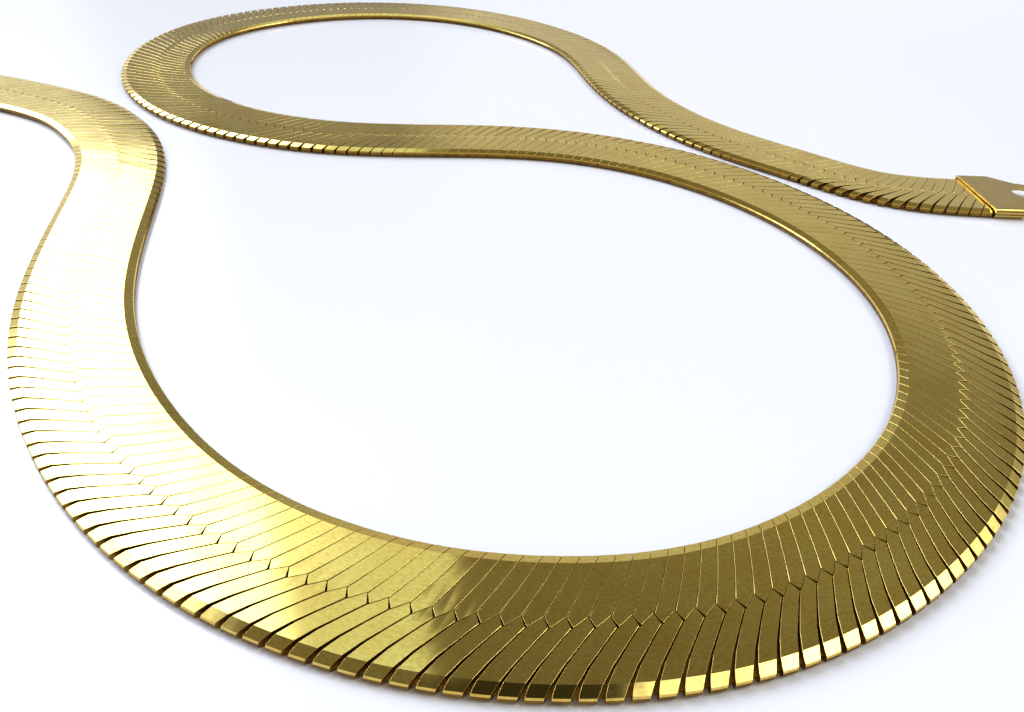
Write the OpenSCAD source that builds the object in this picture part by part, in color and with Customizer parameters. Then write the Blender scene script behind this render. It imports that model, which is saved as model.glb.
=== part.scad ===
// Herringbone chain necklace, unclasped and laid flat in a wide S.
// Millimetres, +Z up, the table at z = 0. The origin is under the middle of the necklace's box.
// Seen from above, the free end with its open eye is on the right. The chain runs from there around
// the upper loop, back through the big loop below, and out to the clasp on the left.

/* [Band] */
// Length of the woven band, from end to end
chain_len = 444; // [440:1:520]
// Width of the band
band_w = 8.7; // [7:0.1:9.5]
// Thickness of the band
band_t = 0.8; // [0.75:0.05:1]
// Width of the bright bevel along each upper edge
bevel_w = 0.7; // [0.4:0.05:1]
// Drop of that bevel, from the face to the side
bevel_h = 0.2; // [0.1:0.05:0.3]
// Small bevel along each lower edge
under_bevel = 0.15; // [0.05:0.05:0.25]

/* [Tang] */
// Length of the thinned end of the band that each cap holds
tang_len = 3; // [2.5:0.1:4]
// Set-back of the tang from each side of the band
tang_inset = 0.2; // [0.15:0.05:0.5]

/* [End cap] */
// Thickness of the folded sheet
sheet_t = 0.25; // [0.2:0.05:0.3]
// Height of the cap above the band's face
cap_proud = 0.3; // [0.25:0.05:0.4]
// Reach of the cap past each side of the band
cap_over = 0.2; // [0.15:0.05:0.8]
// Thickness of the cap's closed end wall
cap_end_wall = 0.45; // [0.3:0.05:0.8]
// Rounding of the folded sides
cap_round = 0.45; // [0.2:0.05:0.5]
// Gap between the tang and the cap's inside, and between the band and the cap's mouth
cap_gap = 0.1; // [0.08:0.02:0.14]
// Height of the seam between the two sheets, seen along each side
seam_h = 0.14; // [0.1:0.02:0.2]
// Depth of that seam
seam_depth = 0.15; // [0.1:0.05:0.25]

/* [Tongue] */
// Distance from the band's end to the middle of the eye
eye_reach = 2.9; // [2.8:0.1:4]
// Diameter of the eye
eye_d = 3; // [2.9:0.1:3.4]
// Metal around the eye
eye_rim = 0.9; // [0.8:0.05:1]
// Thickness of the tongue
tongue_t = 0.4; // [0.3:0.05:0.45]
// Width of the tongue where it leaves the cap
tongue_root_w = 8.2; // [6:0.2:8.6]

/* [Clasp] */
// Middle radius of the clasp's tail loop
loop_r = 2.1; // [2:0.05:2.2]
// Wire of the tail loop
loop_wire = 0.5; // [0.4:0.05:0.5]
// Lean of the tail loop from the table
loop_lean = 50; // [46:1:54]
// How far past the middle of the eye the loop goes through it
loop_off = 0.2; // [0.1:0.05:0.3]
// Diameter of the collar that joins that loop to the clasp's ring
collar_d = 1; // [0.8:0.1:1.3]
// Middle radius of the clasp's ring
clasp_r = 3.1; // [2.6:0.1:4]
// Tube of the clasp's ring
clasp_tube = 1.7; // [1.4:0.1:2]
// Diameter of the thumb knob on the clasp's ring
knob_d = 1; // [0.8:0.1:1.2]
// Height of that knob above the tube
knob_h = 0.6; // [0.4:0.1:1]

/* [Hidden] */
gold = [0.82, 0.68, 0.33];

// The way the band lies on the table: a line that is led by these points, from the right to the left.
route = [
  [106, -0.5], [78, -0.5], [57.5, -3.5], [49.5, 3.5], [37.5, 11], [28.5, 26.5], [26.5, 45.5],
  [7.5, 62], [-17.5, 60.5], [-36.5, 43], [-36.5, 21.5], [-25, 6.5], [-6, 1], [13.5, 6], [31.5, 4],
  [47.5, -8.5], [54, -27], [48.5, -46], [33, -58.5], [18.5, -61], [6.5, -59.5], [-6.5, -53],
  [-20, -35.5], [-24.5, -7.5], [-33, 2], [-39, 7], [-60, 13], [-78.5, 15.5], [-96, 17.5]
];
// Distance along that line from its start to the band's free end
lead = 9.6;
// Steps that each span of the line is measured in, and the length of one piece of the band
span_steps = 12;
piece = 2.5;

spans = len(route) - 3;

// Point and direction at parameter t of the uniform cubic B-spline of the route.
function span_of(t) = min(floor(t), spans - 1);
function on_route(t) = let (k = span_of(t), u = t - k)
  (pow(1 - u, 3) * route[k] + (3 * pow(u, 3) - 6 * u * u + 4) * route[k + 1]
   + (3 * u + 3 * u * u - 3 * pow(u, 3) + 1) * route[k + 2] + pow(u, 3) * route[k + 3]) / 6;
function slope(t) = let (k = span_of(t), u = t - k)
  (-pow(1 - u, 2) * route[k] + (3 * u * u - 4 * u) * route[k + 1]
   + (1 + 2 * u - 3 * u * u) * route[k + 2] + u * u * route[k + 3]) / 2;
function unit(v) = v / norm(v);

// Rows of [length from the start, parameter t] along the route.
measure = [
  for (i = 0, s = 0; i <= spans * span_steps;
       s = s + norm(on_route((i + 1) / span_steps) - on_route(i / span_steps)), i = i + 1)
    [s, i / span_steps]
];
route_len = measure[spans * span_steps][0];

// Place and heading of the band at a distance s from its free end. Past the route it goes straight on.
function heading(s) = unit(slope(lookup(s + lead, measure)));
function place(s) = on_route(lookup(s + lead, measure)) + max(0, s + lead - route_len) * heading(s);
function turned(v) = [-v[1], v[0]];
function angle_of(v) = atan2(v[1], v[0]);

// Sizes that follow from the ones above.
cap_h = band_t + cap_proud;
cap_w = band_w + 2 * cap_over;
tang_w = band_w - 2 * tang_inset;
tang_low = sheet_t + cap_gap;
tang_top = cap_h - sheet_t - cap_gap;
mouth = cap_gap - tang_len;
shoulder = cap_gap + cap_end_wall;
tongue_r = eye_d / 2 + eye_rim;
tongue_mid = cap_h - tongue_t / 2;
loop_z = loop_r * sin(loop_lean) + loop_wire / 2;
loop_turn = asin((tongue_mid - loop_z) / (loop_r * sin(loop_lean)));
loop_x = eye_reach + loop_off + loop_r * cos(loop_turn);
loop_y = -loop_r * sin(loop_turn) * cos(loop_lean);
ring_gap = 0.3;
clasp_x = loop_x + loop_r + (loop_wire + clasp_tube) / 2 + ring_gap + clasp_r;

// Half sections as [across, up], right-hand lower corner first and around to the left.
function mirrored(half) = concat(half, [for (i = [len(half) - 1 : -1 : 0]) [-half[i][0], half[i][1]]]);
band_section = mirrored([
  [band_w / 2 - under_bevel, 0],
  [band_w / 2, under_bevel],
  [band_w / 2, band_t - bevel_h],
  [band_w / 2 - bevel_w, band_t]
]);
tang_edge = (tang_top - tang_low) / 4;
tang_section = mirrored([
  [tang_w / 2 - tang_edge, tang_low],
  [tang_w / 2, tang_low + tang_edge],
  [tang_w / 2, tang_top - tang_edge],
  [tang_w / 2 - tang_edge, tang_top]
]);

// Rows of [distance from the free end, section] along the band.
body_len = chain_len - 2 * tang_len;
pieces = ceil(body_len / piece);
stations = concat(
  [[0, tang_section], [tang_len, tang_section]],
  [for (i = [0 : pieces]) [tang_len + body_len * i / pieces, band_section]],
  [[chain_len - tang_len, tang_section], [chain_len, tang_section]]
);

// One closed skin through a row of sections along the route.
module sweep(rows) {
  n = len(rows[0][1]);
  points = [
    for (row = rows, q = row[1])
      let (p = place(row[0]) + q[0] * turned(heading(row[0]))) [p[0], p[1], q[1]]
  ];
  sides = [
    for (i = [0 : len(rows) - 2], j = [0 : n - 1])
      [i * n + j, (i + 1) * n + j, (i + 1) * n + (j + 1) % n, i * n + (j + 1) % n]
  ];
  first = [for (j = [0 : n - 1]) j];
  last = [for (j = [n - 1 : -1 : 0]) (len(rows) - 1) * n + j];
  polyhedron(points, concat(sides, [first], [last]), convexity = 10);
}

// Puts its children at an end of the band, with +X pointing away from the band.
module at_free_end() {
  translate([place(0)[0], place(0)[1], 0]) rotate(angle_of(-heading(0))) children();
}
module at_clasp_end() {
  p = place(chain_len);
  translate([p[0], p[1], 0]) rotate(angle_of(heading(chain_len))) children();
}

module rounded_rect(w, h, r) {
  for (x = [r, w - r], y = [r, h - r]) translate([x, y]) circle(r, $fn = 32);
  translate([r, 0]) square([w - 2 * r, h]);
  translate([0, r]) square([w, h - 2 * r]);
}

// The woven band as one solid: face, bevels, sides and the thinned ends in the caps.
module herringbone_band() {
  color(gold) sweep(stations);
}

// A cap of folded sheet over the tang, with a flat tongue and its eye.
module end_cap() {
  difference() {
    union() {
      translate([mouth, -cap_w / 2, 0]) rotate([90, 0, 90])
        linear_extrude(shoulder - mouth) rounded_rect(cap_w, cap_h, cap_round);
      translate([0, 0, cap_h - tongue_t]) linear_extrude(tongue_t) {
        polygon([
          [cap_gap, -tongue_root_w / 2], [shoulder, -tongue_root_w / 2], [eye_reach, -tongue_r],
          [eye_reach, tongue_r], [shoulder, tongue_root_w / 2], [cap_gap, tongue_root_w / 2]
        ]);
        translate([eye_reach, 0]) circle(tongue_r, $fn = 64);
      }
    }
    translate([mouth - 1, -tang_w / 2 - cap_gap, sheet_t])
      cube([1 - mouth + cap_gap, tang_w + 2 * cap_gap, cap_h - 2 * sheet_t]);
    for (side = [-1, 1])
      translate([mouth - 1, side * cap_w / 2 - seam_depth, (cap_h - seam_h) / 2])
        cube([shoulder - mouth + 2, 2 * seam_depth, seam_h]);
    translate([eye_reach, 0, -1]) cylinder(d = eye_d, h = cap_h + 2, $fn = 64);
  }
}

module end_cap_free() {
  color(gold) at_free_end() end_cap();
}

module end_cap_clasp() {
  color(gold) at_clasp_end() end_cap();
}

// A round bar of diameter d from point a to point b.
module bar(a, b, d) {
  v = b - a;
  translate(a) rotate([0, acos(v[2] / norm(v)), atan2(v[1], v[0])]) cylinder(d = d, h = norm(v), $fn = 32);
}

module torus(r, wire) {
  rotate_extrude($fn = 72) translate([r, 0]) circle(d = wire, $fn = 32);
}

// The clasp is one plain piece: a ring with a knob, and a tail loop that hangs in the eye.
module clasp() {
  color(gold) at_clasp_end() {
    translate([loop_x, loop_y, loop_z]) rotate([loop_lean, 0, 0]) rotate(90) torus(loop_r, loop_wire);
    bar([loop_x + loop_r - loop_wire, loop_y, loop_z], [clasp_x - clasp_r, 0, clasp_tube / 2], collar_d);
    translate([clasp_x, 0, clasp_tube / 2]) torus(clasp_r, clasp_tube);
    translate([clasp_x, clasp_r, clasp_tube / 2])
      cylinder(d = knob_d, h = clasp_tube / 2 + knob_h, $fn = 32);
  }
}

herringbone_band();
end_cap_free();
end_cap_clasp();
clasp();
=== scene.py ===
"""Looks of the herringbone chain: its links, gold finishes, table, light and camera.

The row frame is the CAD's: metres, +Z up, the table at z = 0. Sizes below are in millimetres,
and `mm` turns them.
"""

import logging
from dataclasses import dataclass, field
from enum import Enum
from functools import cached_property
from typing import Any

import bpy
import numpy as np
from mathutils import Matrix


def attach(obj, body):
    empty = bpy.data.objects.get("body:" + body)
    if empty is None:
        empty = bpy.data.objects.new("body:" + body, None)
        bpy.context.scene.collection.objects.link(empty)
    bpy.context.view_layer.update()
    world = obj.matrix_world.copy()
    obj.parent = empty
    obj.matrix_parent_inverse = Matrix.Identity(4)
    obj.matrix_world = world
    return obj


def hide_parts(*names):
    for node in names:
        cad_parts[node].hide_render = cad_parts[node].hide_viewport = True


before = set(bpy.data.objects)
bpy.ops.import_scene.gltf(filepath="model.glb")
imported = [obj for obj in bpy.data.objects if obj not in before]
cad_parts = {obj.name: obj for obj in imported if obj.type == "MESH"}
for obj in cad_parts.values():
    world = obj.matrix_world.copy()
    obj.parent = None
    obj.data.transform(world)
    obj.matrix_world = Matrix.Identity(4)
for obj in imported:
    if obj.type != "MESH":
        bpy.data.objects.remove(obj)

log = logging.getLogger("herringbone_chain")

Array = np.ndarray
# Angle in degrees and share of the light's full strength there, with rising angles.
Stops = tuple[tuple[float, float], ...]

# Inputs and output of a mix node that carry colours; its plain names belong to the number inputs.
MIX_FIRST, MIX_SECOND, MIX_RESULT = 6, 7, 2


def mm(value: Any) -> Any:
    """Millimetres as metres, for a number or an array."""
    return value * 0.001


def srgb(code: str) -> tuple[float, float, float, float]:
    """Linear colour of an sRGB hex value such as "#f2d981", by the curve of the sRGB standard.

    Args:
        code: six hex digits after a hash.

    Returns:
        Linear red, green, blue and an alpha of 1.
    """
    parts = np.array([int(code[i : i + 2], 16) / 255 for i in (1, 3, 5)])
    linear = np.where(parts <= 0.04045, parts / 12.92, ((parts + 0.055) / 1.055) ** 2.4)
    return (float(linear[0]), float(linear[1]), float(linear[2]), 1.0)


def add_node(
    tree: bpy.types.NodeTree,
    kind: str,
    settings: dict[str, Any] | None = None,
    feeds: tuple[Any, ...] = (),
    **links: Any,
) -> Any:
    """Adds a node, sets it and links it.

    Args:
        tree: the node tree that gets it.
        kind: Blender's name for the node's type.
        settings: attributes of the node, and default values of inputs by their name.
        feeds: sockets that feed the node's first inputs, in their order.
        links: input name, with underscores for spaces, to the socket that feeds it.

    Returns:
        The new node.
    """
    node = tree.nodes.new(kind)
    for name, value in (settings or {}).items():
        if name in node.inputs:
            node.inputs[name].default_value = value
        else:
            setattr(node, name, value)
    for place, socket in enumerate(feeds):
        tree.links.new(socket, node.inputs[place])
    for name, socket in links.items():
        tree.links.new(socket, node.inputs[name.replace("_", " ")])
    return node


def remap(
    tree: bpy.types.NodeTree,
    value: Any,
    source: tuple[float, float],
    target: tuple[float, float] = (0.0, 1.0),
) -> Any:
    """Adds a node that stretches one range of a value over another, and stops at its ends.

    Args:
        tree: the node tree that gets it.
        value: the socket with the value.
        source: the two values that come in.
        target: what they become.

    Returns:
        The socket with the result.
    """
    names = ("From Min", "From Max", "To Min", "To Max")
    settings = dict(zip(names, (*source, *target)))
    return add_node(tree, "ShaderNodeMapRange", settings, Value=value).outputs["Result"]


class Surface(Enum):
    """How a gold surface was finished."""

    LINK = "brushed"
    CUT = "as cut"
    SHEET = "satin"
    CAST = "polished"


@dataclass(frozen=True)
class GoldFinish:
    """Yellow gold of 14 carat with one surface finish.

    The real metal is a warm yellow mirror whose fine scratches spread a reflection a little.
    Scratch and blemish sizes and the relief are given in millimetres. Blemishes turn the colour
    to the tint. Grain is the share of the shade that scratches mix in. Stretch squeezes the
    scratches along the piece's map, so below 1 they are long. A noise's values lie around 0.5,
    and the spans are the parts of them that each effect uses.
    """

    name: str
    surface: Surface
    colour: str
    tint: str
    shade: str
    roughness: tuple[float, float]
    scratch: float
    blemish: float
    relief: float
    grain: float = 0.3
    stretch: float = 1.0
    scratch_detail: float = 4.0
    scratch_fineness: float = 0.62
    blemish_detail: float = 3.0
    rough_span: tuple[float, float] = (0.3, 0.7)
    tint_span: tuple[float, float] = (0.35, 0.75)
    shade_span: tuple[float, float] = (0.35, 0.7)

    def material(self) -> bpy.types.Material:
        """Builds the material: blemishes tint it, and scratches shade, roughen and emboss it."""
        made = bpy.data.materials.new(self.name)
        made.use_nodes = True
        tree = made.node_tree
        shader = tree.nodes["Principled BSDF"]
        shader.inputs["Metallic"].default_value = 1.0
        # The band's own map is in metres along and across it; one wave of a noise is 1 / scale.
        on_map = self.surface in (Surface.LINK, Surface.CUT)
        place = add_node(tree, "ShaderNodeTexCoord").outputs["UV" if on_map else "Object"]
        squeezed = add_node(
            tree, "ShaderNodeMapping", {"Scale": (self.stretch, 1.0, 1.0)}, Vector=place
        )
        scratches = add_node(
            tree, "ShaderNodeTexNoise",
            {
                "Scale": 1 / mm(self.scratch),
                "Detail": self.scratch_detail,
                "Roughness": self.scratch_fineness,
            },
            Vector=squeezed.outputs["Vector"],
        ).outputs["Fac"]
        blemishes = add_node(
            tree, "ShaderNodeTexNoise",
            {"Scale": 1 / mm(self.blemish), "Detail": self.blemish_detail},
            Vector=place,
        ).outputs["Fac"]
        rough = remap(tree, scratches, self.rough_span, self.roughness)
        tinted = add_node(
            tree, "ShaderNodeMix", {"data_type": "RGBA"},
            Factor=remap(tree, blemishes, self.tint_span),
        )
        tinted.inputs[MIX_FIRST].default_value = srgb(self.colour)
        tinted.inputs[MIX_SECOND].default_value = srgb(self.tint)
        shaded = add_node(
            tree, "ShaderNodeMix", {"data_type": "RGBA"},
            Factor=remap(tree, scratches, self.shade_span, (0.0, self.grain)),
        )
        tree.links.new(tinted.outputs[MIX_RESULT], shaded.inputs[MIX_FIRST])
        shaded.inputs[MIX_SECOND].default_value = srgb(self.shade)
        bump = add_node(
            tree, "ShaderNodeBump", {"Strength": 1.0, "Distance": mm(self.relief)},
            Height=scratches,
        )
        tree.links.new(rough, shader.inputs["Roughness"])
        tree.links.new(shaded.outputs[MIX_RESULT], shader.inputs["Base Color"])
        tree.links.new(bump.outputs["Normal"], shader.inputs["Normal"])
        return made


# Flat links are ground and lightly brushed: nearly a mirror, with a fine grain and dull spots.
LINK_GOLD = GoldFinish(
    name="Yellow gold, brushed links", surface=Surface.LINK,
    colour="#f0d87a", tint="#e8c66a", shade="#a98c3a",
    roughness=(0.055, 0.1), scratch=0.18, blemish=2.6, relief=0.0003, grain=0.45, stretch=0.6,
)
# The cut sides of the links and the core under them are never polished. Their darker brown colour
# is painted shade, standing for the shade in the gaps between the links and under them.
CUT_GOLD_WITH_PAINTED_SHADE = GoldFinish(
    name="Yellow gold, cut and unpolished, darkened as painted shade", surface=Surface.CUT,
    # Colour, tint and shade are darkened as painted shade for the gaps and the underside.
    colour="#9a7632", tint="#755722", shade="#463311",
    roughness=(0.35, 0.5), scratch=0.3, blemish=1.5, relief=0.004,
)
# The caps are folded sheet with a satin face.
SHEET_GOLD = GoldFinish(
    name="Yellow gold, satin sheet", surface=Surface.SHEET,
    colour="#cfb668", tint="#c6a65b", shade="#8f7431",
    roughness=(0.18, 0.28), scratch=0.12, blemish=1.8, relief=0.001,
)
# The clasp is cast and tumbled bright.
CAST_GOLD = GoldFinish(
    name="Yellow gold, polished casting", surface=Surface.CAST,
    colour="#f1d680", tint="#eac971", shade="#b8963f",
    roughness=(0.07, 0.13), scratch=0.2, blemish=1.2, relief=0.0006,
)


@dataclass(frozen=True)
class Route:
    """The line on the table that the band's middle follows, as in the CAD source."""

    lead: float = 9.6
    span_steps: int = 12
    points: tuple[tuple[float, float], ...] = (
        (106, -0.5), (78, -0.5), (57.5, -3.5), (49.5, 3.5), (37.5, 11), (28.5, 26.5), (26.5, 45.5),
        (7.5, 62), (-17.5, 60.5), (-36.5, 43), (-36.5, 21.5), (-25, 6.5), (-6, 1), (13.5, 6),
        (31.5, 4), (47.5, -8.5), (54, -27), (48.5, -46), (33, -58.5), (18.5, -61), (6.5, -59.5),
        (-6.5, -53), (-20, -35.5), (-24.5, -7.5), (-33, 2), (-39, 7), (-60, 13), (-78.5, 15.5),
        (-96, 17.5),
    )

    @cached_property
    def measured(self) -> tuple[Array, Array]:
        """Lengths along the line at equal steps of the parameter, and the parameters there."""
        spans = len(self.points) - 3
        t = np.arange(spans * self.span_steps + 1) / self.span_steps
        step = np.hypot(*np.diff(self.on_spline(t)[0], axis=0).T)
        return np.concatenate([[0.0], np.cumsum(step)]), t

    def on_spline(self, t: Array) -> tuple[Array, Array, Array]:
        """Uniform cubic B-spline: the four nearest route points, weighed by cubics of t.

        Args:
            t: parameters, from 0 to the number of spans.

        Returns:
            Points, slopes and second slopes, each in millimetres with a last axis of 2.
        """
        p = np.array(self.points, float)
        k = np.clip(np.floor(t).astype(int), 0, len(p) - 4)
        u = (t - k)[..., None]
        near = [p[k + i] for i in range(4)]
        place = [(1 - u) ** 3, 3 * u**3 - 6 * u**2 + 4, 3 * u + 3 * u**2 - 3 * u**3 + 1, u**3]
        slope = [-((1 - u) ** 2), 3 * u**2 - 4 * u, 1 + 2 * u - 3 * u**2, u**2]
        bend = [1 - u, 3 * u - 2, 1 - 3 * u, u]
        return (
            sum(w * q for w, q in zip(place, near)) / 6,
            sum(w * q for w, q in zip(slope, near)) / 2,
            sum(w * q for w, q in zip(bend, near)),
        )

    def at(self, s: Array) -> tuple[Array, Array, Array]:
        """Place, heading and curvature of the line.

        Args:
            s: distances from the band's free end, in millimetres.

        Returns:
            Points, unit headings, and curvature in 1/mm, positive where the line turns left.
        """
        length, t_of = self.measured
        place, slope, bend = self.on_spline(np.interp(s + self.lead, length, t_of))
        speed = np.linalg.norm(slope, axis=-1)
        curve = (slope[..., 0] * bend[..., 1] - slope[..., 1] * bend[..., 0]) / speed**3
        return place, slope / speed[..., None], curve

    def lay(self, s: Array, across: Array, height: Array) -> Array:
        """Puts band coordinates on the table.

        Args:
            s: distance from the free end.
            across: offset to the left of the heading.
            height: height above the table.

        Returns:
            Points in millimetres, with a last axis of 3.
        """
        place, heading, _ = self.at(s)
        left = np.stack([-heading[..., 1], heading[..., 0]], axis=-1)
        flat = place + across[..., None] * left
        return np.concatenate([flat, np.broadcast_to(height, s.shape)[..., None]], axis=-1)


def closed_tubes(points: Array) -> tuple[Array, list[list[int]]]:
    """Skins a stack of rings into closed tubes.

    Faces join each ring to the next and each ring point to its neighbour, and close both ends.

    Args:
        points: array of tubes, rings, ring points and 3 coordinates. Rings run so that faces
            point out.

    Returns:
        Vertices as one flat array, and the faces.
    """
    tubes, rings, size, _ = points.shape
    index = np.arange(tubes * rings * size).reshape(tubes, rings, size)
    here, there = index[:, :-1], index[:, 1:]
    beyond, beside = np.roll(there, -1, axis=2), np.roll(here, -1, axis=2)
    faces = np.stack([here, there, beyond, beside], axis=-1).reshape(-1, 4).tolist()
    faces += index[:, 0].tolist() + index[:, -1, ::-1].tolist()
    return points.reshape(-1, 3), faces


def unit(vectors: Array) -> Array:
    """Vectors of length 1 in the same directions; a zero vector stays zero."""
    return vectors / np.maximum(np.linalg.norm(vectors, axis=-1, keepdims=True), 1e-9)


def mesh_object(
    name: str,
    points: Array,
    faces: list[list[int]],
    uv: Array | None = None,
    normals: Array | None = None,
) -> bpy.types.Object:
    """Makes a mesh object at the origin.

    Args:
        name: the piece's name.
        points: vertices in millimetres.
        faces: vertex indices of each face.
        uv: map coordinates of each vertex, or None.
        normals: shading normal of each face corner, or None for flat faces.

    Returns:
        The object, linked to the scene.
    """
    mesh = bpy.data.meshes.new(name)
    mesh.from_pydata(mm(points).tolist(), [], faces)
    if uv is not None:
        corners = np.empty(len(mesh.loops), dtype=np.int32)
        mesh.loops.foreach_get("vertex_index", corners)
        layer = mesh.uv_layers.new(name="along_across")
        layer.data.foreach_set("uv", uv[corners].astype(np.float32).ravel())
    mesh.validate()
    if normals is not None:
        mesh.shade_smooth()
        mesh.normals_split_custom_set(normals.tolist())
    made = bpy.data.objects.new(name, mesh)
    bpy.context.scene.collection.objects.link(made)
    return made


# Ring points of a link, once around it: bottom, side, four on the top with the lips first and
# last, side and bottom. Their levels, and which way each lip is set in from its side.
BOTTOM, SIDE, TOP = 0, 1, 2
RING_LEVELS = np.array([BOTTOM, SIDE, TOP, TOP, TOP, TOP, SIDE, BOTTOM])
RING_LIPS = np.array([0, 0, 1, 0, 0, -1, 0, 0])
# Face j of a ring lies between its points j and j + 1: the two arrises, and the faces of the top.
ARRIS_FACES = (1, 5)
TOP_FACES = slice(2, 5)
# Finish of each face of a ring: 0 for brushed, 1 for the cut sides and the underside, which get the
# darker gold that paints their shade.
RING_FINISH_AND_PAINTED_SHADE = np.array([1, 0, 0, 0, 0, 0, 1, 1])


@dataclass
class HerringboneBand:
    """Two rows of slanted flat links that meet in a zigzag seam, on a pressed core.

    The rows are told apart by the side of the heading that they lie on: -1 right, +1 left. Link k
    of the left row starts at seam point B(k), and of the right row at A(k). Along the band A(k)
    lies at k pitches and B(k) a jog before it.
    """

    route: Route
    # The band's outline, as in the CAD source.
    length: float = 444.0
    width: float = 8.7
    thickness: float = 0.8
    bevel_width: float = 0.7
    bevel_slope: float = 0.288
    # The tangs in the caps: length, width, lower and upper height, chamfer.
    tang: float = 3.0
    tang_width: float = 8.3
    tang_heights: tuple[float, float] = (0.35, 0.75)
    tang_chamfer: float = 0.1
    # The rows: distance from link to link, and how far a link leans along the band from the seam
    # to the edge. The sweep is the share of a quarter sine in that lean on the outer side of a
    # full bend, which is one of this curvature, in 1/mm, or more.
    pitch: float = 1.19
    lean: float = 2.57
    sweep: float = 0.55
    full_bend: float = 0.028
    # The seam: how far its points B lie before A, half its width, and its shift to the left.
    # Its tips are blunt and turned aside on the inner side of a full bend. Elsewhere they are
    # sharp, and turned aside by the least share of that.
    jog: float = 0.22
    seam_half: float = 0.355
    seam_shift: float = 0.2
    tip_blunt: float = 0.07
    tip_nick: float = 0.09
    least_nick: float = 0.3
    # Gap between links, its growth towards the edge on an outer side, and the nose's narrowing.
    gap: float = 0.026
    spread: float = 0.9
    nose_cut: float = 0.04
    # A link's side view. Undercut holds distances in from the edge with the bottom's height
    # there; the last one is where the steep rim starts. The nose's wall stands between its two
    # heights, and nowhere is a link thinner than two of the least wall.
    link_bottom: float = 0.02
    level_cuts: tuple[float, ...] = (1.6, 2.7)
    undercut: tuple[tuple[float, float], ...] = ((0.3, 0.02), (0.15, 0.08), (0.07, 0.14))
    nose_heights: tuple[float, float] = (0.2, 0.5)
    least_wall: float = 0.01
    # Width of the worn arrises, and the share of it by which the one at the seam is set in.
    arris: float = 0.031
    seam_arris: float = 0.8
    # Links lie unevenly: spread of their heights and tilts, mean sinking and the most of it.
    uneven: float = 0.005
    sunk: float = 0.004
    most_sunk: float = 0.012
    seed: int = 7
    # Spare links past each end, where all are cut off at the tang, and the share of a pitch
    # that has to be left of a link there.
    spare: int = 3
    least_link: float = 0.15
    # The core: distances in from the edge with the height there, the length of its step down to
    # a tang, and its number of sections.
    core_edge: tuple[tuple[float, float], ...] = (
        (0.6, 0.0), (0.5, 0.04), (0.24, 0.3), (0.3, 0.34),
    )
    core_step: float = 0.02
    core_cuts: int = 260
    made: list[bpy.types.Object] = field(default_factory=list)

    def link_count(self) -> int:
        """Links in one row."""
        return round((self.length - 2 * self.tang) / self.pitch)

    def profile(self) -> tuple[Array, Array, Array]:
        """Side view of a link from the seam to its nose, one entry for each ring.

        The top is level up to the bevel, which falls at its slope to a narrow steep rim at the
        nose. Below the nose's short wall the link is undercut, so only its inner part stands on
        the table.

        Returns:
            Distance from the band's middle, top height and bottom height. The first two rings
            follow the seam.
        """
        half = self.width / 2
        inside = half - self.bevel_width
        level = [(w, self.link_bottom) for w in (0.0, 0.0, *self.level_cuts, inside)]
        nose = [(half - inset, height) for inset, height in self.undercut]
        across, lows = np.array([*level, *nose, (half, self.nose_heights[0])]).T
        tops = self.thickness - self.bevel_slope * np.clip(across - inside, 0, None)
        tops[-1] = self.nose_heights[1]
        return across, tops, lows

    def ring_shares(self, side: int) -> tuple[Array, float, int]:
        """Where the ring points lie across a link.

        Args:
            side: -1 for the right row, 1 for the left.

        Returns:
            Share of the link's width at each ring point, share at the seam's tip, and the ring
            point that is the tip.
        """
        tip = self.jog / self.pitch if side > 0 else 1 - self.jog / self.pitch
        inner = [tip, (tip + 1) / 2] if side > 0 else [tip / 2, tip]
        lips = self.arris / self.pitch * RING_LIPS
        return np.array([0, 0, 0, *inner, 1, 1, 1]) + lips, tip, 3 if side > 0 else 4

    def slant(self, w: Array, root: float, loose: Array) -> Array:
        """How far a link has leaned along the band at a distance from the band's middle.

        Args:
            w: distances from the middle, towards the link's edge.
            root: distance at which the lean starts.
            loose: 0 on a straight, up to 1 on the outer side of a full bend.

        Returns:
            Lengths along the band.
        """
        past = np.clip((w - root) / (self.width / 2 - root), 0, 1)
        ease = self.sweep * loose
        return self.lean * ((1 - ease) * past + ease * np.sin(past * np.pi / 2))

    def side_cut(self, w: Array, bend: Array, loose: Array) -> Array:
        """Share of the pitch that is open on each side of a link.

        Links keep their width on the outer side of a bend, so a wedge opens between them.

        Args:
            w: distances from the middle, towards the link's edge.
            bend: curvature in 1/mm, positive on the outer side of a bend.
            loose: 0 on a straight, up to 1 on the outer side of a full bend.

        Returns:
            The shares.
        """
        half = self.width / 2
        outward = np.clip(w, 0, half)
        grown = 1 + self.spread * (outward / half) ** 2
        opened = self.pitch * np.clip(bend, 0, None) * outward * grown
        on_bevel = np.clip((w - half + self.bevel_width) / self.bevel_width, 0, 1)
        nose = on_bevel**2 * self.nose_cut * loose
        return (self.gap + opened) / (2 * self.pitch * (1 + bend * outward)) + nose

    def heights(self, side: int, top: Array, low: Array, share: Array) -> Array:
        """Height of each ring point, with a small fixed rise and tilt for each link.

        Args:
            side: -1 for the right row, 1 for the left.
            top: height of the top at each ring point of each link.
            low: height of the bottom.
            share: share of the link's width at each ring point.

        Returns:
            The heights; none is above the band's thickness.
        """
        rng = np.random.default_rng(self.seed + side)
        rise, tilt = rng.normal(0, self.uneven, (2, len(top), 1, 1))
        crown = top + np.clip(rise - self.sunk, -self.most_sunk, 0.0) + tilt / 2 * (share - 0.5)
        crown = np.minimum(crown, self.thickness)
        height = np.where(RING_LEVELS == SIDE, top - self.arris, low)
        height = np.where(RING_LEVELS == TOP, crown, height)
        return np.maximum(height, low + self.least_wall * RING_LEVELS)

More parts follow.
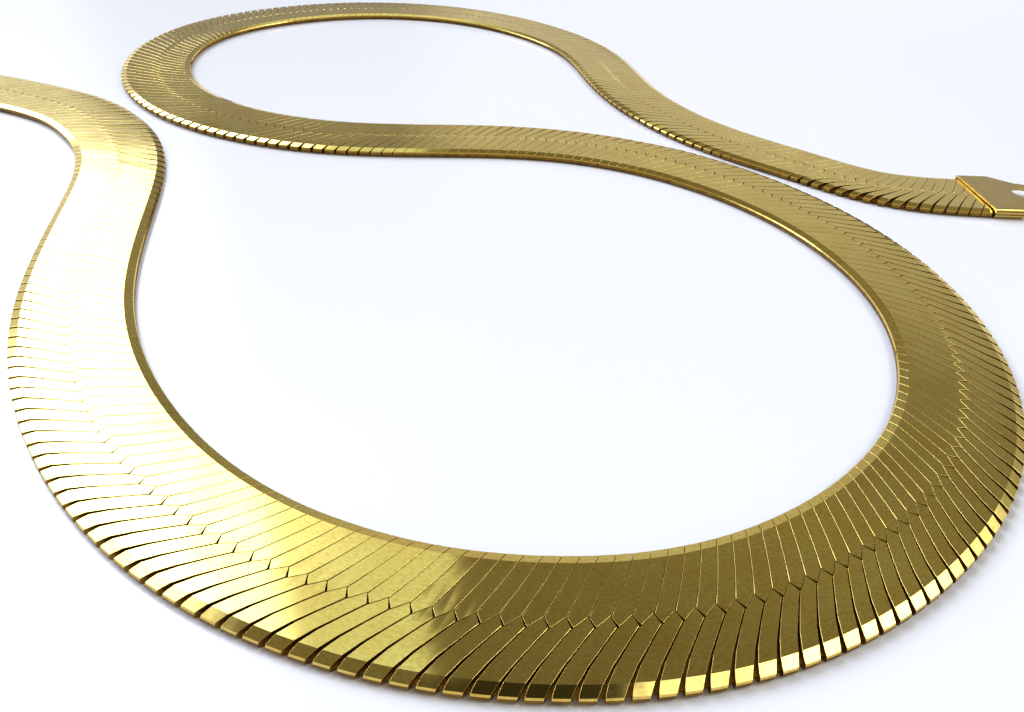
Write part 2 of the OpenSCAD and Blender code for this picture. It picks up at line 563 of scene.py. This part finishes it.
    def row(self, side: int) -> tuple[Array, Array]:
        """Works out one row of links.

        A link is a stack of rings that run across the link; ring j lies at distance w(j) from the
        middle, and each ring point at a share u of the link's width. Its place along the band is
        start(k) + u * pitch + side * slant(w), where slant(w) grows from 0 at the seam to the full
        lean at the edge.

        Args:
            side: -1 for the right row, 1 for the left.

        Returns:
            Points as links, rings, ring points and 3 coordinates, and the same with the 2 map
            coordinates.
        """
        count = self.link_count() + 2 * self.spare
        behind = self.jog if side > 0 else 0.0
        start = self.tang + (np.arange(count) - self.spare) * self.pitch - behind
        start = start[:, None, None]
        bend = -side * self.route.at(start + self.pitch / 2)[2]
        # How closely this row is bent inwards and outwards at each link, from 0 to 1.
        tight, loose = (np.clip(k * bend / self.full_bend, 0, 1) for k in (-1, 1))
        share, tip, at_tip = self.ring_shares(side)
        # The seam edge is a V: its tip reaches past the middle of the band.
        shift = side * self.seam_shift
        fold = np.minimum(share / tip, (1 - share) / (1 - tip))
        reach = self.seam_half * (1 - 2 * fold) + shift + self.gap / 2
        reach = np.tile(reach, (count, 1, 1))
        reach[..., at_tip] += self.tip_blunt * tight[..., 0]
        across, top, low = (v[None, :, None] for v in self.profile())
        shape = (count, across.shape[1], len(RING_LEVELS))
        w = np.broadcast_to(across, shape).copy()
        w[:, :1] = reach
        w[:, 1:2] = reach + self.seam_arris * self.arris
        top = np.broadcast_to(top, shape).copy()
        top[:, :1] -= self.arris
        cut = self.side_cut(w, bend, loose)
        leaned = self.slant(w, self.seam_half + shift, loose)
        s = start + self.pitch * (cut + (1 - 2 * cut) * share) + side * leaned
        nick = self.least_nick + (1 - self.least_nick) * tight[..., 0]
        s[:, :2, at_tip] += side * self.tip_nick * nick
        s = np.clip(s, self.tang, self.length - self.tang)
        keep = np.ptp(s, axis=(1, 2)) > self.least_link * self.pitch
        points = self.route.lay(s, side * w, self.heights(side, top, low, share))[keep]
        mapped = np.stack([s, side * w], axis=-1)[keep]
        return (points[:, :, ::-1], mapped[:, :, ::-1]) if side > 0 else (points, mapped)

    def corner_normals(self, points: Array) -> Array:
        """Shading normals that round the worn arrises and keep every other face flat.

        On an arris the corners next to the top take the top's normal and the others take the
        wall's.

        Args:
            points: links, rings, ring points and 3 coordinates.

        Returns:
            One normal for each face corner, in the order of `closed_tubes`.
        """
        here, there = points[:, :-1], points[:, 1:]
        beyond, beside = np.roll(there, -1, axis=2), np.roll(here, -1, axis=2)
        flat = unit(np.cross(beyond - here, beside - there))
        corners = np.repeat(flat[:, :, :, None], 4, axis=3)
        for face in ARRIS_FACES:
            corners[:, :, face, :2] = flat[:, :, face - 1, None]
            corners[:, :, face, 2:] = flat[:, :, face + 1, None]
        # The seam edge's arris: its own walls are level, and found from the edge's run.
        edge = points[:, 0, TOP_FACES]
        run = np.roll(points[:, 0], -1, axis=1)[:, TOP_FACES] - edge
        wall = unit(np.cross(run, [0.0, 0.0, 1.0]))
        wall *= np.sign(np.sum(wall * (edge - points[:, 2, TOP_FACES]), axis=-1, keepdims=True))
        corners[:, 0, TOP_FACES, 0] = corners[:, 0, TOP_FACES, 3] = wall
        corners[:, 0, TOP_FACES, 1] = corners[:, 0, TOP_FACES, 2] = flat[:, 1, TOP_FACES]
        # The closed ends face away from the rings behind them, and level.
        ends = []
        for first, second in ((0, 2), (-1, -3)):
            out = points[:, first].mean(axis=1) - points[:, second].mean(axis=1)
            level = unit(out * [1, 1, 0])[:, None]
            ends.append(np.repeat(level, points.shape[2], axis=1).reshape(-1, 3))
        return np.concatenate([corners.reshape(-1, 3), *ends])

    def build_links(self) -> list[bpy.types.Object]:
        """Makes one object for each row; cut sides, undersides and ends get the second finish, a
        darker gold that paints the shade between and under the links.
        """
        made = []
        for side, name in ((-1, "links_right"), (1, "links_left")):
            points, mapped = self.row(side)
            flat, faces = closed_tubes(points)
            uv = mm(mapped.reshape(-1, 2))
            links = mesh_object(name, flat, faces, uv, self.corner_normals(points))
            count, rings = points.shape[:2]
            # Faces marked 1 and the closed ends get the darker gold of painted shade.
            finish = np.concatenate([np.tile(RING_FINISH_AND_PAINTED_SHADE, count * (rings - 1)), np.ones(2 * count)])
            links.data.materials.append(None)
            links.data.materials.append(None)
            links.data.polygons.foreach_set("material_index", finish.astype(np.int32))
            made.append(links)
            log.info("%s: %d links, %d faces", name, count, len(faces))
        return made

    def build_core(self) -> bpy.types.Object:
        """Sweeps the core and the two tangs: a flat bar with two sections, one after the other."""
        half, tang_half, chamfer = self.width / 2, self.tang_width / 2, self.tang_chamfer
        low, top = self.tang_heights
        body = [(half - inset, height) for inset, height in self.core_edge]
        tang = [(tang_half - chamfer, low), (tang_half, low + chamfer),
                (tang_half, top - chamfer), (tang_half - chamfer, top)]
        ends = np.array([0.0, self.tang - self.core_step])
        along = np.linspace(self.tang, self.length - self.tang, self.core_cuts)
        s = np.concatenate([ends, along, self.length - ends[::-1]])
        section = np.array([tang] * len(ends) + [body] * len(along) + [tang] * len(ends))
        section = np.concatenate([section, section[:, ::-1] * [-1, 1]], axis=1)
        lengthwise = np.broadcast_to(s[:, None], section.shape[:2])
        points = self.route.lay(lengthwise, section[..., 0], section[..., 1])
        mapped = np.stack([lengthwise, section[..., 0]], axis=-1).reshape(-1, 2)
        flat, faces = closed_tubes(points[None])
        core = mesh_object("band_core", flat, faces, mm(mapped))
        log.info("band_core: %d faces", len(faces))
        return core

    def build(self) -> None:
        """Makes the links and the core in place of the plain band."""
        self.made = [*self.build_links(), self.build_core()]
        for piece in self.made:
            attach(piece, "root")
        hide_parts("herringbone_band")

    def dress(self) -> None:
        """Gives the links brushed gold, and their cut sides and the core the dull one, whose darker
        colour is painted shade.
        """
        link, cut = LINK_GOLD.material(), CUT_GOLD_WITH_PAINTED_SHADE.material()
        *rows, core = self.made
        for links in rows:
            links.data.materials[0] = link
            links.data.materials[1] = cut
        # The core shows only in the gaps, so its darker gold is painted shade there.
        core.data.materials.append(cut)


@dataclass
class Fittings:
    """The two end caps and the clasp, whose shapes are the CAD's."""

    caps: tuple[str, ...] = ("end_cap_free", "end_cap_clasp")
    clasp: str = "clasp"

    def dress(self) -> None:
        """Gives the caps satin sheet gold and the clasp polished gold."""
        finishes = [(name, SHEET_GOLD) for name in self.caps] + [(self.clasp, CAST_GOLD)]
        made = {finish.name: finish.material() for _, finish in finishes}
        for name, finish in finishes:
            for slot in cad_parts[name].material_slots:
                slot.material = made[finish.name]
            log.info("%s: %s", name, finish.name)


@dataclass(frozen=True)
class SoftLight:
    """A soft-edged patch of the room around the table: a window, a pale wall, a lamp's diffuser.

    Its radiance is the strength times a share by azimuth times a share by elevation. Azimuth 0 is
    straight ahead and grows to the right; both angles are in degrees. A negative strength takes
    light away where other patches overlap it.
    """

    name: str
    strength: float
    colour: str
    azimuth: Stops
    elevation: Stops

    def share(self, tree: bpy.types.NodeTree, angle: Any, stops: Stops) -> Any:
        """Adds the nodes that turn an angle into a share.

        Args:
            tree: the room's node tree.
            angle: the socket with the angle, in radians.
            stops: the shares by angle.

        Returns:
            The socket with the share.
        """
        first, last = stops[0][0], stops[-1][0]
        part = remap(tree, angle, (np.radians(first), np.radians(last)))
        node = add_node(tree, "ShaderNodeValToRGB", Fac=part)
        ramp = node.color_ramp.elements
        while len(ramp) < len(stops):
            ramp.new(0.5)
        for element, (degrees, grey) in zip(ramp, stops):
            element.position = (degrees - first) / (last - first)
            element.color = (grey, grey, grey, 1.0)
        return node.outputs["Color"]

    def radiance(self, tree: bpy.types.NodeTree, azimuth: Any, elevation: Any) -> Any:
        """Adds the nodes for the patch.

        Args:
            tree: the room's node tree.
            azimuth: the socket with the azimuth, in radians.
            elevation: the socket with the elevation, in radians.

        Returns:
            The socket with its radiance as a vector.
        """
        shares = (
            self.share(tree, azimuth, self.azimuth),
            self.share(tree, elevation, self.elevation),
        )
        both = add_node(tree, "ShaderNodeMath", {"operation": "MULTIPLY"}, shares)
        glow = add_node(
            tree, "ShaderNodeVectorMath", {"operation": "SCALE"}, Scale=both.outputs["Value"]
        )
        glow.inputs[0].default_value = [self.strength * part for part in srgb(self.colour)[:3]]
        return glow.outputs["Vector"]


ROOM_LIGHT = (
    # Pale walls low down ahead, a warm dim ceiling, dark above the camera, and the warm dim room
    # behind it.
    SoftLight(
        "far walls", 0.69, "#ffffff",
        ((-110, 0.0), (-70, 1.0), (22, 1.0), (34, 0.82), (70, 0.8), (110, 0.0)),
        ((0, 1.0), (14, 0.96), (20, 0.92), (24, 0.86), (28, 0.72), (32, 0.35), (38, 0.08),
         (46, 0.0)),
    ),
    SoftLight(
        "ceiling", 0.34, "#fbf5d8",
        ((-180, 0.7), (-130, 0.7), (-110, 1.0), (70, 1.0), (100, 0.7), (180, 0.7)),
        ((20, 0.0), (28, 0.06), (32, 0.26), (38, 0.64), (44, 0.86), (48, 0.8), (52, 0.68),
         (56, 0.62), (62, 0.56), (68, 0.6), (90, 0.6)),
    ),
    SoftLight(
        "dark overhead", -0.105, "#fbf5d8",
        ((-180, 1.0), (-111, 1.0), (-104, 0.0), (62, 0.0), (84, 1.0), (180, 1.0)),
        ((76.6, 0.0), (78.2, 1.0), (90, 1.0)),
    ),
    SoftLight(
        "near walls", 0.45, "#ffedd0",
        ((-180, 1.0), (-110, 1.0), (-70, 0.0), (70, 0.0), (110, 1.0), (180, 1.0)),
        ((0, 1.0), (40, 0.8), (60, 0.3), (75, 0.0)),
    ),
    # The window, ahead to the left: cool daylight.
    SoftLight(
        "window", 8.5, "#dbe6ff",
        ((-112, 0.0), (-95, 0.3), (-78, 0.6), (-60, 0.9), (-50, 1.0), (-36, 1.0), (-31, 0.65),
         (-27, 0.43), (-25, 0.28), (-23.2, 0.0)),
        ((18.8, 0.0), (21, 0.1), (22, 0.4), (23.2, 1.0), (54, 1.0), (62, 0.0)),
    ),
    # Its bright reveal, and the pale wall beside and above it, whose edge is further left higher
    # up.
    SoftLight(
        "reveal", 1.35, "#dbe6ff",
        ((-32, 0.0), (-27, 1.0), (-22, 0.8), (-16, 0.25), (-13, 0.0)),
        ((38, 0.0), (43, 1.0), (49, 0.9), (52.5, 0.1), (56, 0.0)),
    ),
    SoftLight(
        "window wall", 0.82, "#ecffff",
        ((-28, 0.0), (-26, 1.0), (-5.4, 1.0), (-4.2, 0.0)),
        ((36, 0.0), (44, 1.0), (53, 1.0), (55, 0.0)),
    ),
    SoftLight(
        "window wall top", 0.82, "#ecffff",
        ((-28, 0.0), (-26, 1.0), (-8.6, 1.0), (-7.2, 0.0)),
        ((53, 0.0), (55, 1.0), (64, 1.0), (72, 0.0)),
    ),
    # The sill under the window, and the dim corner to its right.
    SoftLight(
        "sill", 0.34, "#c9dcff",
        ((-80, 0.0), (-70, 1.0), (-31, 1.0), (-28, 0.0)),
        ((4, 0.0), (10, 0.6), (17, 1.0), (22, 1.0), (24, 0.0)),
    ),
    SoftLight(
        "corner", -0.29, "#ffffff",
        ((-31, 0.0), (-27, 1.0), (-10, 1.0), (-4, 0.0)),
        ((4, 0.0), (10, 1.0), (26, 1.0), (32, 0.0)),
    ),
    # A diffused lamp high on the right.
    SoftLight(
        "lamp", 5.4, "#f6f9ff",
        ((58, 0.0), (65, 1.0), (97, 1.0), (108, 0.0)),
        ((28, 0.0), (31, 0.26), (36, 0.36), (42, 0.9), (47, 1.0), (58, 1.0), (65, 0.4),
         (74, 0.36), (76.8, 0.0)),
    ),
    # The bright rest of the table top, far off, that lies along the horizon.
    SoftLight(
        "horizon", 0.35, "#ffffff",
        ((-180, 1.0), (180, 1.0)),
        ((0, 1.0), (8, 1.0), (12, 0.0)),
    ),
)


@dataclass
class Studio:
    """Pale table, soft light and the camera at the photograph's angle.

    The camera's place and the table's half size are in millimetres, its depression and roll in
    degrees, and its clipping distances in metres.
    """

    camera_place: tuple[float, float, float] = (16.5, -85.0, 36.63)
    focal_pixels: float = 787.4
    picture_width: int = 1024
    sensor_width: float = 36.0
    depression: float = 37.157
    roll: float = 3.923
    clipping: tuple[float, float] = (0.001, 50.0)
    table_half: float = 4000.0
    table_colour: str = "#ededef"
    table_roughness: float = 0.16
    lights: tuple[SoftLight, ...] = ROOM_LIGHT

    def build_camera(self) -> None:
        """Places the camera: it looks along +Y, is tipped down, then rolled about its view."""
        tilt, roll = np.radians([self.depression, self.roll])
        ahead = np.array([0, np.cos(tilt), -np.sin(tilt)])
        up = np.array([0, np.sin(tilt), np.cos(tilt)])
        right = np.array([1.0, 0, 0])
        rolled_right = np.cos(roll) * right + np.sin(roll) * up
        rolled_up = np.cos(roll) * up - np.sin(roll) * right
        axes = np.stack([rolled_right, rolled_up, -ahead], axis=1)
        data = bpy.data.cameras.new("camera")
        data.sensor_fit, data.sensor_width = "HORIZONTAL", self.sensor_width
        data.lens = self.focal_pixels / self.picture_width * self.sensor_width
        data.clip_start, data.clip_end = self.clipping
        camera = bpy.data.objects.new("camera", data)
        moved = Matrix.Translation([mm(v) for v in self.camera_place])
        camera.matrix_world = moved @ Matrix(axes.tolist()).to_4x4()
        bpy.context.scene.collection.objects.link(camera)
        bpy.context.scene.camera = camera

    def build_table(self) -> None:
        """Lays a wide pale table top at z = 0."""
        around = np.array([(-1, -1, 0), (1, -1, 0), (1, 1, 0), (-1, 1, 0)], float)
        table = mesh_object("table", around * self.table_half, [[0, 1, 2, 3]])
        made = bpy.data.materials.new("White laminate, half gloss")
        made.use_nodes = True
        shader = made.node_tree.nodes["Principled BSDF"]
        shader.inputs["Base Color"].default_value = srgb(self.table_colour)
        shader.inputs["Roughness"].default_value = self.table_roughness
        table.data.materials.append(made)

    def build_room(self) -> None:
        """Sums the room's soft lights by the direction that each ray leaves in."""
        world = bpy.data.worlds.new("room")
        bpy.context.scene.world = world
        world.use_nodes = True
        tree = world.node_tree
        facing = add_node(tree, "ShaderNodeTexCoord").outputs["Generated"]
        axes = add_node(tree, "ShaderNodeSeparateXYZ", Vector=facing).outputs
        turned = add_node(tree, "ShaderNodeMath", {"operation": "ARCTAN2"}, (axes["X"], axes["Y"]))
        raised = add_node(tree, "ShaderNodeMath", {"operation": "ARCSINE"}, (axes["Z"],))
        angles = turned.outputs["Value"], raised.outputs["Value"]
        total = self.lights[0].radiance(tree, *angles)
        for light in self.lights[1:]:
            both = (total, light.radiance(tree, *angles))
            added = add_node(tree, "ShaderNodeVectorMath", {"operation": "ADD"}, both)
            total = added.outputs["Vector"]
        tree.links.new(total, tree.nodes["Background"].inputs["Color"])

    def build(self) -> None:
        """Builds table, room and camera, and sets how light becomes colour."""
        self.build_camera()
        self.build_table()
        self.build_room()
        scene = bpy.context.scene
        scene.view_settings.view_transform = "Standard"
        scene.view_settings.look = "None"


def main() -> None:
    """Builds the chain and the studio."""
    logging.basicConfig(level=logging.INFO, format="%(name)s: %(message)s")
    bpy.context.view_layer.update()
    Studio().build()
    band = HerringboneBand(Route())
    band.build()
    band.dress()
    Fittings().dress()


if __name__ == "__main__":
    main()
